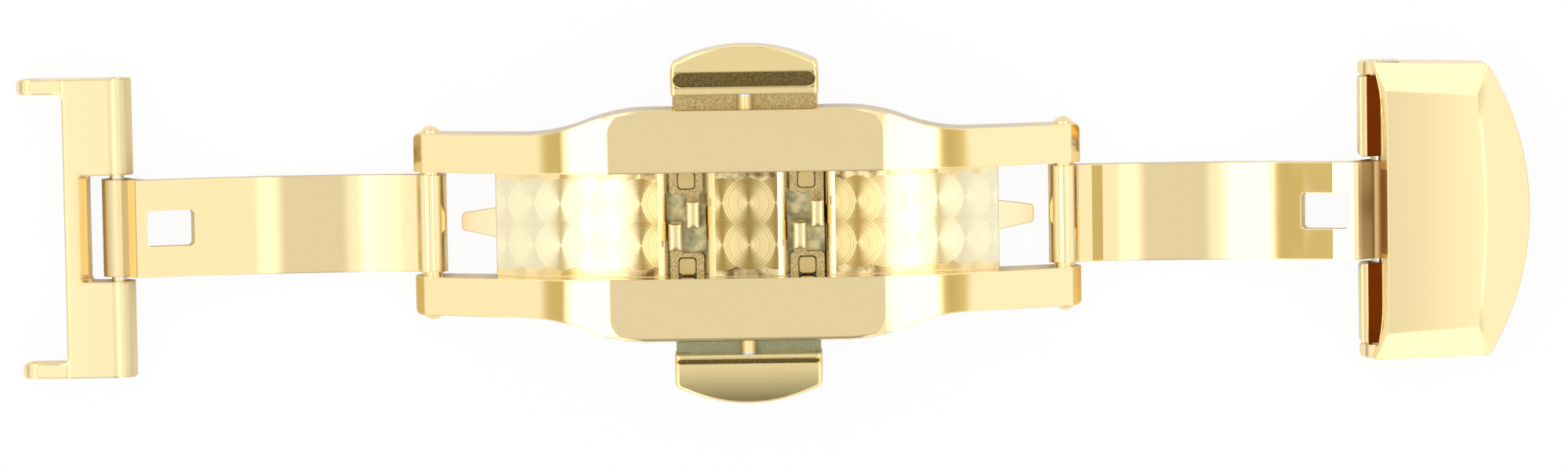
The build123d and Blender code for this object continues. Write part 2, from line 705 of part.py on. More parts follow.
def clamp_flap():
    """Hinged plate that closes the strap cover from below, notched for the blade, with an upturned rim."""
    x, z = end_pin_open_x, end_pin_open_z
    rim_x = x - flap_rim_reach
    rim_z = z + flap_rim_rise
    rim_inner = rim_x + flap_rim_width - x
    spread = math.atan2(flap_rim_rise, rim_inner)
    spread -= math.acos(flap_barrel_radius / math.hypot(rim_inner, flap_rim_rise))
    tangent_x = x + flap_barrel_radius * math.cos(spread)
    tangent_z = z + flap_barrel_radius * math.sin(spread)
    rim = polygon((rim_x, 0), (rim_x, rim_z), (x + rim_inner, rim_z), (tangent_x, tangent_z), (x, z), (x, 0))
    rim = fillet(rim.vertices().filter_by(lambda v: v.X < x and v.Y > z), flap_rim_round)
    rim = fillet(rim.vertices().filter_by(lambda v: v.X < x - fixed_gap and v.Y < fixed_gap), flap_heel_round)
    profile = rim + disc(x, z, flap_barrel_radius) + rectangle(x, x + flap_length, 0, flap_thickness)
    plan = rectangle(rim_x, x + flap_length, -flap_half_width, flap_half_width)
    plan -= rectangle(rim_x - overrun, x + flap_notch_depth, -notch_half_width, notch_half_width)
    plan = fillet(plan.vertices().filter_by(lambda v: v.X < x), flap_mouth_corner)
    plan = fillet(plan.vertices().filter_by(lambda v: v.X > x + flap_notch_depth + fixed_gap), flap_corner)
    flap = across(profile, -flap_half_width, flap_half_width) & upward(plan, 0, rim_z)
    reach = flap_half_width + overrun
    flap -= rod(x, z, end_pin_radius + running_gap, -reach, reach)
    return flap - Pos(x + peg_distance, 0) * upward(Circle(peg_shank_radius + fixed_gap), -overrun, z)


def strap_peg():
    """Peg for one hole of the strap, riveted through the flap by its shank."""
    head = Pos(end_pin_open_x + peg_distance, 0) * upward(
        Circle(peg_radius), flap_thickness, flap_thickness + peg_height
    )
    top = head.edges().filter_by(GeomType.CIRCLE).sort_by(Axis.Z)[-1]
    head = chamfer(top, peg_chamfer)
    shank = Pos(end_pin_open_x + peg_distance, 0) * upward(Circle(peg_shank_radius), 0, flap_thickness)
    return head + shank


pieces = {
    "center_frame": center_frame(),
    "bottom_cover": bottom_cover(),
    "kick_spring_right": kick_spring(),
    "kick_spring_left": turned(kick_spring()),
    "hinge_pin_left": hinge_pin(-hinge_x),
    "hinge_pin_right": hinge_pin(hinge_x),
    "blade_left": open_blade(),
    "blade_right": turned(open_blade()),
    "end_pin_left": end_pin(bracket_half_width - end_pin_recess),
    "end_pin_right": turned(end_pin(cover_half_width - end_pin_recess)),
    "latch_slide_upper": latch_slide(),
    "latch_slide_lower": turned(latch_slide()),
    "button_head_upper": button_head(upper_lip_depth, upper_lip_drop, upper_bevel_run),
    "button_head_lower": turned(button_head(lower_lip_depth, lower_lip_drop, lower_bevel_run)),
    "guide_pin_upper": guide_pin(),
    "guide_pin_lower": turned(guide_pin()),
    "button_spring_upper": button_spring(),
    "button_spring_lower": turned(button_spring()),
    "strap_bracket": strap_bracket(),
    "strap_cover": strap_cover(),
    "clamp_flap": clamp_flap(),
    "strap_peg": strap_peg(),
}

os.makedirs("parts", exist_ok=True)
for name, solid in pieces.items():
    export_step(Pos(-origin_x, 0, 0) * solid, f"parts/{name}.step")
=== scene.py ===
import math

import bmesh
import bpy
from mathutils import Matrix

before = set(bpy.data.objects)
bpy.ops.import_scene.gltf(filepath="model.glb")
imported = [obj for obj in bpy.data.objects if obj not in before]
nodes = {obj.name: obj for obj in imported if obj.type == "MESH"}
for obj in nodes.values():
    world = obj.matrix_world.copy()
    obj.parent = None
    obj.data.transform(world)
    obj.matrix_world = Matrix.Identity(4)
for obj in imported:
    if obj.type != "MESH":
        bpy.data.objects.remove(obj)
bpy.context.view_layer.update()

# Hinge pins. Plain steel pins with domed heads, riveted in the rails, polished and plated together with
# them, so they mirror the studio and only a hint of buffing softens it.
millimetre = 0.001
gold_colour = "#FBE4AE"
gold_roughness = 0.045
buffing_spread = 0.04
buffing_length_mm = 1.6
coarse_detail = 3.0
soft_edge_mm = 0.12
edge_samples = 4


def linear(hex_colour):
    """A colour written as sRGB hex, in the linear values that shaders take."""
    channels = [int(hex_colour[i : i + 2], 16) / 255 for i in (1, 3, 5)]
    return [c / 12.92 if c <= 0.04045 else ((c + 0.055) / 1.055) ** 2.4 for c in channels] + [1.0]


def add(tree, kind, *values, inputs=None, output=0, **settings):
    """Adds a node with its settings, fills its inputs in order or by name, and gives one output."""
    node = tree.nodes.new("ShaderNode" + kind)
    for name, value in settings.items():
        setattr(node, name, value)
    for socket, value in [*enumerate(values), *(inputs or {}).items()]:
        if isinstance(value, bpy.types.NodeSocket):
            tree.links.new(value, node.inputs[socket])
        else:
            node.inputs[socket].default_value = value
    return node.outputs[output]


def metal(name, colour, roughness, spread=buffing_spread, edge_mm=soft_edge_mm):
    """A metal with soft edges and faint buffing: its material, tree, shader and place in millimetres."""
    material = bpy.data.materials.new(name)
    material.use_nodes = True
    tree = material.node_tree
    shader = tree.nodes["Principled BSDF"]
    shader.inputs["Base Color"].default_value = linear(colour)
    shader.inputs["Metallic"].default_value = 1.0
    in_metres = add(tree, "TexCoord", output="Object")
    place = add(tree, "VectorMath", in_metres, operation="SCALE", inputs={"Scale": 1 / millimetre})
    buffing = {"Vector": place, "Scale": 1 / buffing_length_mm, "Detail": coarse_detail}
    marks = add(tree, "TexNoise", inputs=buffing)
    buffed = add(tree, "MapRange", marks, 0.0, 1.0, roughness - spread / 2, roughness + spread / 2)
    tree.links.new(buffed, shader.inputs["Roughness"])
    edge = add(tree, "Bevel", edge_mm * millimetre, samples=edge_samples)
    tree.links.new(edge, shader.inputs["Normal"])
    return material, tree, shader, place


def finish(material, *names):
    """Gives one or more CAD pieces a material."""
    for name in names:
        nodes[name].data.materials.clear()
        nodes[name].data.materials.append(material)


polished_gold = metal("mirror_polished_gold_plate", gold_colour, gold_roughness)[0]
finish(polished_gold, "hinge_pin_left", "hinge_pin_right")

# Centre frame. Milled from one piece of stainless steel. A wheel polishes the rails and rounds corners and
# window rims. The deck has perlage, circles that a turning abrasive peg grinds in two rows, left under the
# gold plating. Their rings are drawn coarser than real ones, so that they show.
frame_edge_mm = 0.16
middle_x_mm = -1.65
deck_half_width_mm = 3.5
deck_side_soft_mm = 0.02
deck_least_upright = 0.85
row_y_mm = 1.41
circle_radius_mm = 1.69
circle_pitch_mm = 1.82
middle_circle_x_mm = -1.49
ring_pitch_mm = 0.1
ring_depth_mm = 0.0016
fine_detail = 2.0
perlage_roughness = 0.16
perlage_stretch = 1.0
window_edges_mm = ((-7.29, -4.08), (0.78, 3.99))
rim_mm = 0.32
rim_slope = 0.24
facet_half_length_mm = 9.26
facet_half_width_mm = 7.75
facet_corner_mm = 1.7
facet_corner_slope = 0.11
facet_least_upright = 0.9995
perlage_pale_colour = "#F9EFD0"
perlage_painted_highlight_colour = "#EDD79A"
perlage_painted_shade_colour = "#BC9B57"
painted_hourglass_shares = (0.1, 0.75)
painted_light_zone_mm = (-8.4, 6.9)
painted_light_fade_mm = 2.0
outer_painted_light_share = 0.2
ring_shade_colour = "#A58A50"
ring_shade_from = (0.5, 0.7)
ring_shade = 0.5
deck_painted_reflection_colour = "#8F7342"
ungrounded_roughness = 0.14
streak_mm = 1.111
streak_contrast = (0.4, 0.6)


def between(tree, value, low, high, soft):
    """1 where a value lies between two limits, with soft flanks outside them."""
    rising = add(tree, "MapRange", value, low - soft, low)
    falling = add(tree, "MapRange", value, high, high + soft, 1.0, 0.0)
    return add(tree, "Math", rising, falling, operation="MULTIPLY")


def beyond(tree, value, limit):
    """How far a value is past a limit, or 0 before it."""
    past = add(tree, "Math", value, limit, operation="SUBTRACT")
    return add(tree, "Math", past, 0.0, operation="MAXIMUM")


# A Mix node takes two numbers at its inputs 2 and 3, two vectors at 4 and 5, and two colours at 6 and 7.
def blend(tree, shader, socket, mask, changed):
    """Blends one shader input from its present value or link to another, by a mask."""
    target = shader.inputs[socket]
    kind, first, output = ("RGBA", 6, 2) if target.type == "RGBA" else ("FLOAT", 2, 0)
    present = target.links[0].from_socket if target.links else target.default_value
    mixed = add(
        tree, "Mix", mask, data_type=kind, inputs={first: present, first + 1: changed}, output=output
    )
    tree.links.new(mixed, target)


def relief(tree, shader, height, unit_mm=1.0, share=1.0):
    """Lays a height, in units of so many mm, over the shader's present normal."""
    normal = shader.inputs["Normal"]
    sockets = {"Strength": share, "Distance": unit_mm * millimetre, "Height": height}
    laid = add(tree, "Bump", inputs={**sockets, "Normal": normal.links[0].from_socket})
    tree.links.new(laid, normal)


def topmost_circle(tree, along, over):
    """The spoke in mm from the centre of the last ground circle at a place, and where any circle lies."""
    outward = add(tree, "Math", along, middle_circle_x_mm, operation="SUBTRACT")
    side = add(tree, "Math", outward, operation="SIGN")
    reach = add(tree, "Math", outward, operation="ABSOLUTE")
    past_circle = add(tree, "Math", reach, circle_pitch_mm, operation="FLOORED_MODULO")
    circles = []
    for row_y in (row_y_mm, -row_y_mm):
        from_row = add(tree, "Math", over, row_y, operation="SUBTRACT")
        for circle_x in (circle_pitch_mm, 0.0):
            from_circle = add(tree, "Math", past_circle, circle_x, operation="SUBTRACT")
            from_circle = add(tree, "Math", side, from_circle, operation="MULTIPLY")
            spoke = add(tree, "CombineXYZ", from_circle, from_row)
            length = add(tree, "VectorMath", spoke, operation="LENGTH", output="Value")
            circles.append((spoke, add(tree, "Math", length, circle_radius_mm, operation="LESS_THAN")))
    top, covered = circles[0]
    for spoke, inside in circles[1:]:
        top = add(tree, "Mix", inside, data_type="VECTOR", inputs={4: top, 5: spoke}, output=1)
        covered = add(tree, "Math", covered, inside, operation="MAXIMUM")
    return top, covered


frame_gold, tree, shader, place = metal(
    "polished_rails_and_perlage_deck", gold_colour, gold_roughness, edge_mm=frame_edge_mm
)
along, over = [add(tree, "SeparateXYZ", place, output=axis) for axis in "XY"]
off_middle = add(tree, "Math", over, operation="ABSOLUTE")
upright = add(tree, "SeparateXYZ", add(tree, "NewGeometry", output="True Normal"), output="Z")

rim_height = 0.0
for window_low, window_high in window_edges_mm:
    from_middle = add(tree, "Math", along, (window_low + window_high) / 2, operation="SUBTRACT")
    from_middle = add(tree, "Math", from_middle, operation="ABSOLUTE")
    rim_reach_mm = (window_high - window_low) / 2 + rim_mm
    into_rim = add(tree, "Math", rim_reach_mm, from_middle, operation="SUBTRACT")
    rim_height = add(tree, "Math", rim_height, into_rim, operation="MAXIMUM")
rimmed = add(tree, "Math", rim_height, 0.0, operation="GREATER_THAN")
rimless = add(tree, "Math", 1.0, rimmed, operation="SUBTRACT")
deck = add(tree, "Math", upright, deck_least_upright, operation="GREATER_THAN")
within_rails = between(tree, over, -deck_half_width_mm, deck_half_width_mm, deck_side_soft_mm)
deck = add(tree, "Math", deck, within_rails, operation="MULTIPLY")
deck = add(tree, "Math", deck, rimless, operation="MULTIPLY")
spoke, covered = topmost_circle(tree, along, over)
ground = add(tree, "Math", deck, covered, operation="MULTIPLY")
ungrounded = add(tree, "Math", 1.0, covered, operation="SUBTRACT")
ungrounded = add(tree, "Math", deck, ungrounded, operation="MULTIPLY")

distance = add(tree, "VectorMath", spoke, operation="LENGTH", output="Value")
ring_noise = {"W": distance, "Scale": 1 / ring_pitch_mm, "Detail": fine_detail}
rings = add(tree, "TexNoise", noise_dimensions="1D", inputs=ring_noise)
relief(tree, shader, rings, ring_depth_mm, ground)
from_middle = add(tree, "Math", along, middle_x_mm, operation="SUBTRACT")
from_middle = add(tree, "Math", from_middle, operation="ABSOLUTE")
corner = add(
    tree,
    "CombineXYZ",
    beyond(tree, from_middle, facet_half_length_mm - facet_corner_mm),
    beyond(tree, off_middle, facet_half_width_mm - facet_corner_mm),
)
corner_reach = add(tree, "VectorMath", corner, operation="LENGTH", output="Value")
corner_drop = beyond(tree, corner_reach, facet_corner_mm)
corner_drop = add(tree, "Math", corner_drop, -facet_corner_slope, operation="MULTIPLY")
facet = add(tree, "Math", upright, facet_least_upright, operation="GREATER_THAN")
relief(tree, shader, corner_drop, share=facet)
rim_drop = add(tree, "Math", rim_height, -rim_slope, operation="MULTIPLY")
plates = add(tree, "Math", off_middle, deck_half_width_mm, operation="LESS_THAN")
relief(tree, shader, rim_drop, share=plates)

tree.links.new(spoke, shader.inputs["Tangent"])
shader.inputs["Anisotropic"].default_value = perlage_stretch
blend(tree, shader, "Roughness", deck, ungrounded_roughness)
blend(tree, shader, "Roughness", ground, perlage_roughness)
# Painted light in the deck's middle zone, with a fifth of it outside: hourglass, streaks, ring shade.
painted_light_zone = between(tree, along, *painted_light_zone_mm, painted_light_fade_mm)
painted_light_zone = add(tree, "Math", painted_light_zone, outer_painted_light_share, operation="MAXIMUM")
# Painted reflection: dark streaks on the bare deck between the circles.
streak_noise = {"Vector": place, "Scale": 1 / streak_mm, "Detail": coarse_detail}
painted_reflection_streaks = add(tree, "TexNoise", inputs=streak_noise)
painted_reflection_streaks = add(tree, "MapRange", painted_reflection_streaks, *streak_contrast)
painted_reflection_streaks = add(tree, "Math", painted_reflection_streaks, painted_light_zone, operation="MULTIPLY")
painted_reflection_streaks = add(tree, "Math", painted_reflection_streaks, ungrounded, operation="MULTIPLY")
blend(tree, shader, "Base Color", painted_reflection_streaks, linear(deck_painted_reflection_colour))
blend(tree, shader, "Base Color", ground, linear(perlage_pale_colour))
# Painted highlight in each circle's side lobes and painted shade in its wedges above and below.
sideways = add(tree, "SeparateXYZ", spoke, output="X")
sideways = add(tree, "Math", sideways, operation="ABSOLUTE")
painted_lobe = add(tree, "Math", sideways, distance, operation="DIVIDE")
painted_lobe = add(tree, "MapRange", painted_lobe, *painted_hourglass_shares)
painted_shade_and_highlight = {6: linear(perlage_painted_shade_colour), 7: linear(perlage_painted_highlight_colour)}
painted_hourglass_colour = add(tree, "Mix", painted_lobe, data_type="RGBA", inputs=painted_shade_and_highlight, output=2)
painted_light_ground = add(tree, "Math", ground, painted_light_zone, operation="MULTIPLY")
blend(tree, shader, "Base Color", painted_light_ground, painted_hourglass_colour)
ring_mask = add(tree, "MapRange", rings, *ring_shade_from, 0.0, ring_shade)
ring_mask = add(tree, "Math", ring_mask, painted_light_ground, operation="MULTIPLY")
blend(tree, shader, "Base Color", ring_mask, linear(ring_shade_colour))
finish(frame_gold, "center_frame")

# Blades. Blanked from steel strip, bent to the arch of the deck and polished, which eases their ends. The
# knuckles at the free ends are rolled and then blasted with fine beads, so they stay matte under the
# plating. The heel of the right blade has a shallow step.
matte_gold_colour = "#E8D5A6"
right_knuckle_painted_shade_colour = "#CDA870"
matte_roughness = 0.42
grain_mm = 0.06
grain_depth_mm = 0.004
left_knuckle_edge_mm = -43.54
right_knuckle_edge_mm = 39.3
right_knuckle_shade_from_mm = 39.85
heel_step_from_mm = 21.7
heel_step_mm = 0.74
heel_step_slope = 0.2
left_end_eased_from_mm = -38.8
left_end_easing = 0.0071
left_heel_eased_from_mm = -27.6
left_heel_easing = 0.012
right_end_eased_from_mm = 35.2
right_end_eased_mm = 2.7
right_end_easing = 0.0115


def bead_blast(tree, shader, place, share=1.0):
    """Lays the grain that bead blasting leaves over the shader's present normal."""
    noise = {"Vector": place, "Scale": 1 / grain_mm, "Detail": fine_detail}
    relief(tree, shader, add(tree, "TexNoise", inputs=noise), grain_depth_mm, share)


blade_gold, tree, shader, place = metal("polished_blade_with_matte_knuckle", gold_colour, gold_roughness)
along = add(tree, "SeparateXYZ", place, output="X")
left_matte = add(tree, "Math", along, left_knuckle_edge_mm, operation="LESS_THAN")
right_matte = add(tree, "Math", along, right_knuckle_edge_mm, operation="GREATER_THAN")
matte = add(tree, "Math", left_matte, right_matte, operation="MAXIMUM")
blend(tree, shader, "Roughness", matte, matte_roughness)
blend(tree, shader, "Base Color", matte, linear(matte_gold_colour))
# Painted shade on the right knuckle past its crown, where it turns down beside the strap cover.
painted_shade_side = add(tree, "Math", along, right_knuckle_shade_from_mm, operation="GREATER_THAN")
blend(tree, shader, "Base Color", painted_shade_side, linear(right_knuckle_painted_shade_colour))
bead_blast(tree, shader, place, matte)

backward = add(tree, "Math", along, -1.0, operation="MULTIPLY")
past_left_end = beyond(tree, backward, -left_end_eased_from_mm)
on_left_blade = add(tree, "Math", along, 0.0, operation="LESS_THAN")
past_left_heel = beyond(tree, along, left_heel_eased_from_mm)
past_left_heel = add(tree, "Math", past_left_heel, on_left_blade, operation="MULTIPLY")
past_right_end = beyond(tree, along, right_end_eased_from_mm)
past_right_end = add(tree, "Math", past_right_end, right_end_eased_mm, operation="MINIMUM")
past_step = beyond(tree, along, heel_step_from_mm)
past_step = add(tree, "Math", past_step, heel_step_mm, operation="MINIMUM")
sag = add(tree, "Math", past_step, -heel_step_slope, operation="MULTIPLY")
easings = (
    (past_left_end, left_end_easing),
    (past_left_heel, left_heel_easing),
    (past_right_end, right_end_easing),
)
for reach, easing in easings:
    drop = add(tree, "Math", reach, reach, operation="MULTIPLY")
    drop = add(tree, "Math", drop, -easing, operation="MULTIPLY")
    sag = add(tree, "Math", drop, sag, operation="ADD")
relief(tree, shader, sag)
finish(blade_gold, "blade_left", "blade_right")

# Strap bracket. A milled end piece, polished on its facet, bevel and lugs, with the same bead-blasted
# knuckle as the blade that turns between its halves. The wheel eases the fall of the lugs.
bracket_knuckle_edge_mm = -44.0
bracket_edge_mm = 0.35
lug_root_mm = -47.91
lug_slope_mm = 2.1
lug_easing = 0.095

bracket_gold, tree, shader, place = metal(
    "polished_bracket_with_matte_knuckle", gold_colour, gold_roughness, edge_mm=bracket_edge_mm
)
along = add(tree, "SeparateXYZ", place, output="X")
matte = add(tree, "Math", along, bracket_knuckle_edge_mm, operation="GREATER_THAN")
blend(tree, shader, "Roughness", matte, matte_roughness)
blend(tree, shader, "Base Color", matte, linear(matte_gold_colour))
bead_blast(tree, shader, place, matte)
backward = add(tree, "Math", along, -1.0, operation="MULTIPLY")
past_root = beyond(tree, backward, -lug_root_mm)
past_root = add(tree, "Math", past_root, lug_slope_mm, operation="MINIMUM")
relief(tree, shader, add(tree, "Math", past_root, lug_easing, operation="MULTIPLY"))
finish(bracket_gold, "strap_bracket")

# Strap cover and peg. The cover is pressed and milled, then polished to the highest gloss of all pieces
# because it shows on the wrist, and the peg with it. Its end wall beside the blade's knuckle is rougher and
# painted tan: painted shade, where it faces into the gap at the knuckle.
cover_edge_mm = 0.2
cover_roughness = 0.03
cover_spread = 0.02
painted_shade_roughness = 0.3
end_wall_painted_shade_colour = "#B08A58"
end_wall_facing = -0.6
end_wall_shade_half_mm = 2.85

cover_gold, tree, shader, place = metal(
    "high_gloss_cover_gold", gold_colour, cover_roughness, cover_spread, cover_edge_mm
)
own_normal = add(
    tree,
    "VectorTransform",
    add(tree, "NewGeometry", output="True Normal"),
    vector_type="NORMAL",
    convert_from="WORLD",
    convert_to="OBJECT",
)
facing = add(tree, "SeparateXYZ", own_normal, output="X")
shaded_end_wall = add(tree, "Math", facing, end_wall_facing, operation="LESS_THAN")
off_middle = add(tree, "Math", add(tree, "SeparateXYZ", place, output="Y"), operation="ABSOLUTE")
beside_blade = add(tree, "Math", off_middle, end_wall_shade_half_mm, operation="LESS_THAN")
shaded_end_wall = add(tree, "Math", shaded_end_wall, beside_blade, operation="MULTIPLY")
# Painted shade on the end wall beside the blade's knuckle.
blend(tree, shader, "Base Color", shaded_end_wall, linear(end_wall_painted_shade_colour))
blend(tree, shader, "Roughness", shaded_end_wall, painted_shade_roughness)
finish(cover_gold, "strap_cover", "strap_peg")

# Clamp flap. Blanked from steel plate, with two rolled knuckles. It is polished as the pins are. Inside,
# where it faces the strap, it is rougher and painted dark brown: painted shade, the reflection of the
# cover's shaded underside.
flap_painted_shade_colour = "#84451A"
painted_shade_from_x_mm = 40.28
painted_shade_from_z_mm = 0.95

flap_gold, tree, shader, place = metal("polished_flap_painted_shade_inside", gold_colour, gold_roughness)
along, height = [add(tree, "SeparateXYZ", place, output=axis) for axis in "XZ"]
past_knuckle = add(tree, "Math", along, painted_shade_from_x_mm, operation="GREATER_THAN")
above = add(tree, "Math", height, painted_shade_from_z_mm, operation="GREATER_THAN")
painted_shade_inside = add(tree, "Math", past_knuckle, above, operation="MULTIPLY")
# Painted shade inside the flap.
blend(tree, shader, "Base Color", painted_shade_inside, linear(flap_painted_shade_colour))
blend(tree, shader, "Roughness", painted_shade_inside, painted_shade_roughness)
finish(flap_gold, "clamp_flap")

# Push buttons. Polished blocks, each with a rougher groove along its bevel. The groove is painted dark
# olive, a painted reflection of the dark frame, with pale specks of dust.
button_colour = "#FDE6A6"
button_roughness = 0.1
button_spread = 0.06
button_top_mm = 7.003
groove_painted_reflection_colour = "#4E4224"
groove_dust_colour = "#9A8655"
groove_roughness = 0.5
groove_depth_mm = 0.08
groove_tolerance_mm = 0.03
groove_soft_mm = 0.01
slope_tolerance = 0.02
slope_soft = 0.01
speckle_mm = 0.09
groove_contrast = (0.35, 0.8)
bevels_mm = {
    "button_head_upper": {"ridge_y": 10.31, "run": 1.14, "drop": 0.6},
    "button_head_lower": {"ridge_y": 9.35, "run": 0.4, "drop": 0.38},
}


def speckled(tree, place, contrast, dark_colour, pale_colour):
    """A fine speckle of two colours."""
    noise = {"Vector": place, "Scale": 1 / speckle_mm, "Detail": coarse_detail}
    speckle = add(tree, "MapRange", add(tree, "TexNoise", inputs=noise), *contrast)
    colours = {6: linear(dark_colour), 7: linear(pale_colour)}
    return add(tree, "Mix", speckle, data_type="RGBA", inputs=colours, output=2)


for name, bevel in bevels_mm.items():
    button_gold, tree, shader, place = metal(
        "polished_" + name, button_colour, button_roughness, button_spread
    )
    bevel_width_mm = math.hypot(bevel["run"], bevel["drop"])
    slant, rise = -bevel["drop"] / bevel_width_mm, bevel["run"] / bevel_width_mm
    groove_mm = bevel["ridge_y"] * slant + button_top_mm * rise - groove_depth_mm
    upper_place = add(tree, "VectorMath", place, operation="ABSOLUTE")
    level = add(
        tree, "VectorMath", upper_place, (0.0, slant, rise), operation="DOT_PRODUCT", output="Value"
    )
    groove_low, groove_high = groove_mm - groove_tolerance_mm, groove_mm + groove_tolerance_mm
    groove_floor = between(tree, level, groove_low, groove_high, groove_soft_mm)
    upright = add(tree, "SeparateXYZ", add(tree, "NewGeometry", output="True Normal"), output="Z")
    sloped = between(tree, upright, rise - slope_tolerance, rise + slope_tolerance, slope_soft)
    rough_painted_groove = add(tree, "Math", groove_floor, sloped, operation="MULTIPLY")
    # Painted reflection of the dark frame in the groove, with pale specks of dust.
    speckled_colour = speckled(tree, place, groove_contrast, groove_painted_reflection_colour, groove_dust_colour)
    blend(tree, shader, "Base Color", rough_painted_groove, speckled_colour)
    blend(tree, shader, "Roughness", rough_painted_groove, groove_roughness)
    finish(button_gold, name)

# Guide pins. Turned from steel and plated, with bare silver-coloured ends where they are pressed into the
# buttons.
pin_colour = "#EBD39A"
pin_roughness = 0.28
pin_spread = 0.1
pin_edge_mm = 0.05
bare_steel_colour = "#D9DADC"
pin_bare_from_mm = 8.6

guide_steel, tree, shader, place = metal(
    "turned_guide_pin", pin_colour, pin_roughness, pin_spread, pin_edge_mm
)
off_middle = add(tree, "Math", add(tree, "SeparateXYZ", place, output="Y"), operation="ABSOLUTE")
bare = add(tree, "Math", off_middle, pin_bare_from_mm, operation="GREATER_THAN")
blend(tree, shader, "Base Color", bare, linear(bare_steel_colour))
finish(guide_steel, "guide_pin_upper", "guide_pin_lower")

# Latch slides. Stamped steel plates with a tan, fine-grained skin, greenish at the lower button; only the
# hooks, which the blades snap under, are ground round and polished.
hook_roughness = 0.08
hook_edge_mm = 0.34
hook_edge_samples = 8
hook_from_z_mm = 5.1
slide_edge_mm = 0.06
slide_roughness = 0.36
slide_contrast = (0.35, 0.65)
slide_pale_colour = "#D8C48E"
slide_dark_colour = "#9A8452"
lower_slide_colour = "#84917A"
lower_slide_share = 0.7
lower_slide_from_mm = -6.0

slide_steel, tree, shader, place = metal("tan_slide_with_polished_hooks", gold_colour, hook_roughness)
over, height = [add(tree, "SeparateXYZ", place, output=axis) for axis in "YZ"]
plate = add(tree, "Math", height, hook_from_z_mm, operation="LESS_THAN")
hook_radius, slide_radius = hook_edge_mm * millimetre, slide_edge_mm * millimetre
edge_radius = add(tree, "MapRange", plate, 0.0, 1.0, hook_radius, slide_radius)
rounding = shader.inputs["Normal"].links[0].from_node
rounding.samples = hook_edge_samples
tree.links.new(edge_radius, rounding.inputs["Radius"])
speckled_colour = speckled(tree, place, slide_contrast, slide_dark_colour, slide_pale_colour)
blend(tree, shader, "Base Color", plate, speckled_colour)
greenish = add(tree, "Math", over, lower_slide_from_mm, operation="LESS_THAN")
greenish = add(tree, "Math", greenish, lower_slide_share, operation="MULTIPLY")
blend(tree, shader, "Base Color", greenish, linear(lower_slide_colour))
blend(tree, shader, "Roughness", plate, slide_roughness)
finish(slide_steel, "latch_slide_upper", "latch_slide_lower")

# Bottom cover. A pressed steel plate, only tumbled, which shows grey-green through the deck's windows, with
# coined bosses that guide the slides. Under the outer end of each window a dark band is painted shade,
# for the shadowed gap there.
tumbled_dark_colour = "#8B8964"
tumbled_pale_colour = "#D9CC9C"
tumbled_roughness = 0.36
tumbled_spread = 0.1
cloud_mm = 0.714
cloud_detail = 4.0
cloud_contrast = (0.35, 0.65)
boss_colour = "#C9B27C"
boss_from_z_mm = 4.7
painted_shade_band_colour = "#3A2615"
painted_shade_bands_mm = ((-7.4, -7.05), (3.6, 4.1))
painted_shade_band_soft_mm = 0.05
dimple_depth_mm = 0.01

tumbled_steel, tree, shader, place = metal(
    "tumbled_grey_green_plate", tumbled_dark_colour, tumbled_roughness, tumbled_spread
)
along, height = [add(tree, "SeparateXYZ", place, output=axis) for axis in "XZ"]
cloud_noise = {"Vector": place, "Scale": 1 / cloud_mm, "Detail": cloud_detail}
cloud = add(tree, "MapRange", add(tree, "TexNoise", inputs=cloud_noise), *cloud_contrast)
blend(tree, shader, "Base Color", cloud, linear(tumbled_pale_colour))
boss = add(tree, "Math", height, boss_from_z_mm, operation="GREATER_THAN")
blend(tree, shader, "Base Color", boss, linear(boss_colour))
# Painted shade: a dark band under the outer end of each window.
for band_low, band_high in painted_shade_bands_mm:
    painted_shade_band = between(tree, along, band_low, band_high, painted_shade_band_soft_mm)
    blend(tree, shader, "Base Color", painted_shade_band, linear(painted_shade_band_colour))
dimples = {"Vector": place, "Scale": 1 / speckle_mm, "Detail": fine_detail}
relief(tree, shader, add(tree, "TexNoise", inputs=dimples), dimple_depth_mm)
finish(tumbled_steel, "bottom_cover")

# Kick springs. Leaves of spring steel under the ends of the deck, whose tongues push the blades open. They
# are blanked and then blasted before plating, so they are satin.
spring_colour = "#FDEBC2"

satin_gold, tree, shader, place = metal("satin_gold_spring_leaf", spring_colour, matte_roughness)
bead_blast(tree, shader, place)
finish(satin_gold, "kick_spring_left", "kick_spring_right")

# End pins and button springs. Ground pins and coiled wire of bare spring steel, hardly seen: the pins
# show between the knuckles, and the springs sit in the bores of the rails.
end_pin_colour = "#E6DFC6"
end_pin_roughness = 0.2
wire_colour = "#A8A9AB"
wire_roughness = 0.3
wire_edge_mm = 0.02

pin_steel = metal("ground_steel_pin", end_pin_colour, end_pin_roughness, pin_spread, pin_edge_mm)[0]
finish(pin_steel, "end_pin_left", "end_pin_right")
wire_steel = metal("drawn_spring_wire", wire_colour, wire_roughness, pin_spread, wire_edge_mm)[0]
finish(wire_steel, "button_spring_upper", "button_spring_lower")

# Floor. A white card. The camera sees mostly the bright room through it, so it shows hardly any shade, and
# light from below passes it. Pieces that swing below it at some poses therefore still show.
floor_half_mm = 1000.0
floor_drop_mm = 0.02
card_colour = "#FFFFFF"
card_clear_share = 0.93

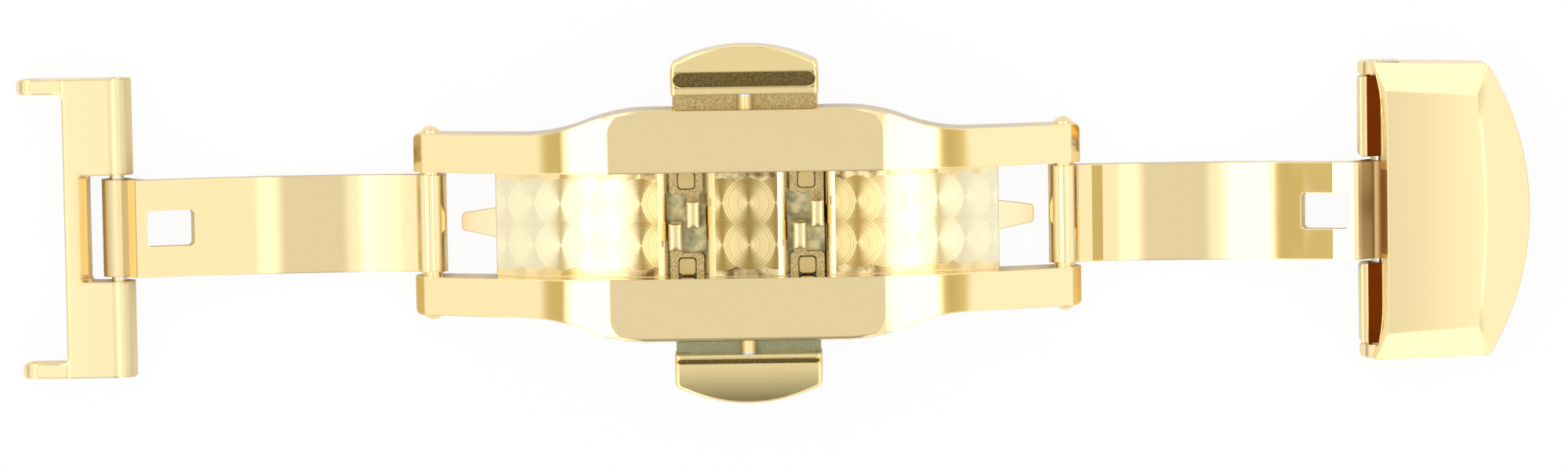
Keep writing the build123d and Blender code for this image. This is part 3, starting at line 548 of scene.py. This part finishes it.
card_shape = bmesh.new()
bmesh.ops.create_grid(card_shape, x_segments=1, y_segments=1, size=floor_half_mm * millimetre)
bmesh.ops.translate(card_shape, verts=card_shape.verts, vec=(0.0, 0.0, -floor_drop_mm * millimetre))
floor_mesh = bpy.data.meshes.new("floor")
card_shape.to_mesh(floor_mesh)
card_shape.free()
floor = bpy.data.objects.new("floor", floor_mesh)
bpy.context.scene.collection.objects.link(floor)
card = bpy.data.materials.new("white_card")
card.use_nodes = True
tree = card.node_tree
tree.nodes.remove(tree.nodes["Principled BSDF"])
paper = add(tree, "BsdfDiffuse", linear(card_colour))
clear = add(tree, "BsdfTransparent")
camera_ray = add(tree, "LightPath", output="Is Camera Ray")
see_through = add(tree, "Math", camera_ray, card_clear_share, operation="MULTIPLY")
from_below = add(tree, "NewGeometry", output="Backfacing")
see_through = add(tree, "Math", see_through, from_below, operation="MAXIMUM")
card_mix = add(tree, "MixShader", see_through, paper, clear)
tree.links.new(card_mix, tree.nodes["Material Output"].inputs["Surface"])
floor_mesh.materials.append(card)

# Studio. A white room. Metal also sees its softboxes: a dim gap over the clasp, where the camera hangs,
# soft walls of light left and right of it with narrow struts between them, and a darker horizon. Each step
# is an angle in degrees from straight up, to the right, with the light's brightness and colour there.
softbox_peak = 2.3
strut_colour = "#D8CB9C"
left_wall_colour = "#FDFFFC"
right_wall_colour = "#F6FBFF"
cool_edge_colour = "#FAFBFF"
white_colour = "#FFFFFF"
steps = [
    (-90, 0.5, white_colour),
    (-60, 1.05, left_wall_colour),
    (-37.2, 1.07, left_wall_colour),
    (-35.6, 1.0, strut_colour),
    (-33.0, 0.93, strut_colour),
    (-31.3, 2.3, white_colour),
    (-25.0, 2.3, white_colour),
    (-23.4, 1.6, white_colour),
    (-22.4, 1.05, white_colour),
    (-20.5, 1.05, white_colour),
    (-19.5, 0.97, strut_colour),
    (-17.0, 0.97, strut_colour),
    (-15.8, 2.2, white_colour),
    (-9.4, 2.2, white_colour),
    (-7.8, 1.2, cool_edge_colour),
    (-6.4, 1.17, cool_edge_colour),
    (-5.2, 0.8, white_colour),
    (4.5, 0.8, white_colour),
    (5.4, 1.12, white_colour),
    (6.0, 1.45, white_colour),
    (8.2, 1.45, white_colour),
    (9.2, 1.06, white_colour),
    (22.6, 1.08, white_colour),
    (24.0, 2.0, white_colour),
    (26.0, 2.3, white_colour),
    (31.6, 2.3, white_colour),
    (33.2, 1.0, strut_colour),
    (34.6, 0.92, strut_colour),
    (36.9, 1.15, strut_colour),
    (38.4, 1.17, right_wall_colour),
    (60, 1.17, right_wall_colour),
    (90, 0.5, white_colour),
]
gap_half_degrees = 3.6
gap_soft_degrees = 1.6
gap_dims_from_to = (-0.75, -0.15)
gap_levels = (0.2, 1.02)
gap_ends_from_to = (-0.95, -0.8)
gap_end_levels = (0.8, 0.2)
horizon_from_to = (0.02, 0.2)
horizon_levels = (0.35, 1.0)

world = bpy.data.worlds.new("studio")
world.use_nodes = True
bpy.context.scene.world = world
tree = world.node_tree
direction = add(tree, "TexCoord", output="Generated")
right, back, up = [add(tree, "SeparateXYZ", direction, output=axis) for axis in "XYZ"]
rightward = add(tree, "Math", right, operation="ARCSINE")
turn = add(tree, "MapRange", rightward, -math.pi / 2, math.pi / 2)
softboxes = add(tree, "ValToRGB", turn)
stops = softboxes.node.color_ramp.elements
while len(stops) < len(steps):
    stops.new(1.0)
for stop, (degrees, brightness, colour) in zip(stops, steps):
    stop.position = (degrees + 90) / 180
    stop.color = [channel * brightness / softbox_peak for channel in linear(colour)[:3]] + [1.0]
gap_half, gap_soft = math.radians(gap_half_degrees), math.radians(gap_soft_degrees)
gap = between(tree, rightward, -gap_half, gap_half, gap_soft)
gap_level = add(tree, "MapRange", back, *gap_dims_from_to, *gap_levels)
gap_end_level = add(tree, "MapRange", back, *gap_ends_from_to, *gap_end_levels)
gap_level = add(tree, "Math", gap_level, gap_end_level, operation="MAXIMUM")
level = add(tree, "Mix", gap, data_type="FLOAT", inputs={2: 1.0, 3: gap_level})
horizon = add(tree, "MapRange", up, *horizon_from_to, *horizon_levels)
level = add(tree, "Math", level, horizon, operation="MULTIPLY")
level = add(tree, "Math", level, softbox_peak, operation="MULTIPLY")
mirrored = add(tree, "VectorMath", softboxes, operation="SCALE", inputs={"Scale": level})
glossy_ray = add(tree, "LightPath", output="Is Glossy Ray")
white_and_mirrored = {6: linear(white_colour), 7: mirrored}
room = add(tree, "Mix", glossy_ray, data_type="RGBA", inputs=white_and_mirrored, output=2)
tree.links.new(room, tree.nodes["Background"].inputs["Color"])

# Camera. It hangs 44 cm over the clasp with a long lens, and is tipped 5 degrees, so that the clasp has the
# outline that it has in the photograph.
camera_place_mm = (5.72, 37.29, 442.75)
camera_turn_degrees = (-5.0, 0.559, -0.916)
lens_mm = 150.0
sensor_mm = 36.0
nearest_mm = 10.0
farthest_mm = 10000.0

camera_data = bpy.data.cameras.new("camera")
camera_data.lens = lens_mm
camera_data.sensor_width = sensor_mm
camera_data.clip_start = nearest_mm * millimetre
camera_data.clip_end = farthest_mm * millimetre
camera = bpy.data.objects.new("camera", camera_data)
camera.location = [value * millimetre for value in camera_place_mm]
camera.rotation_euler = [math.radians(value) for value in camera_turn_degrees]
bpy.context.scene.collection.objects.link(camera)
bpy.context.scene.camera = camera
bpy.context.scene.view_settings.view_transform = "Standard"
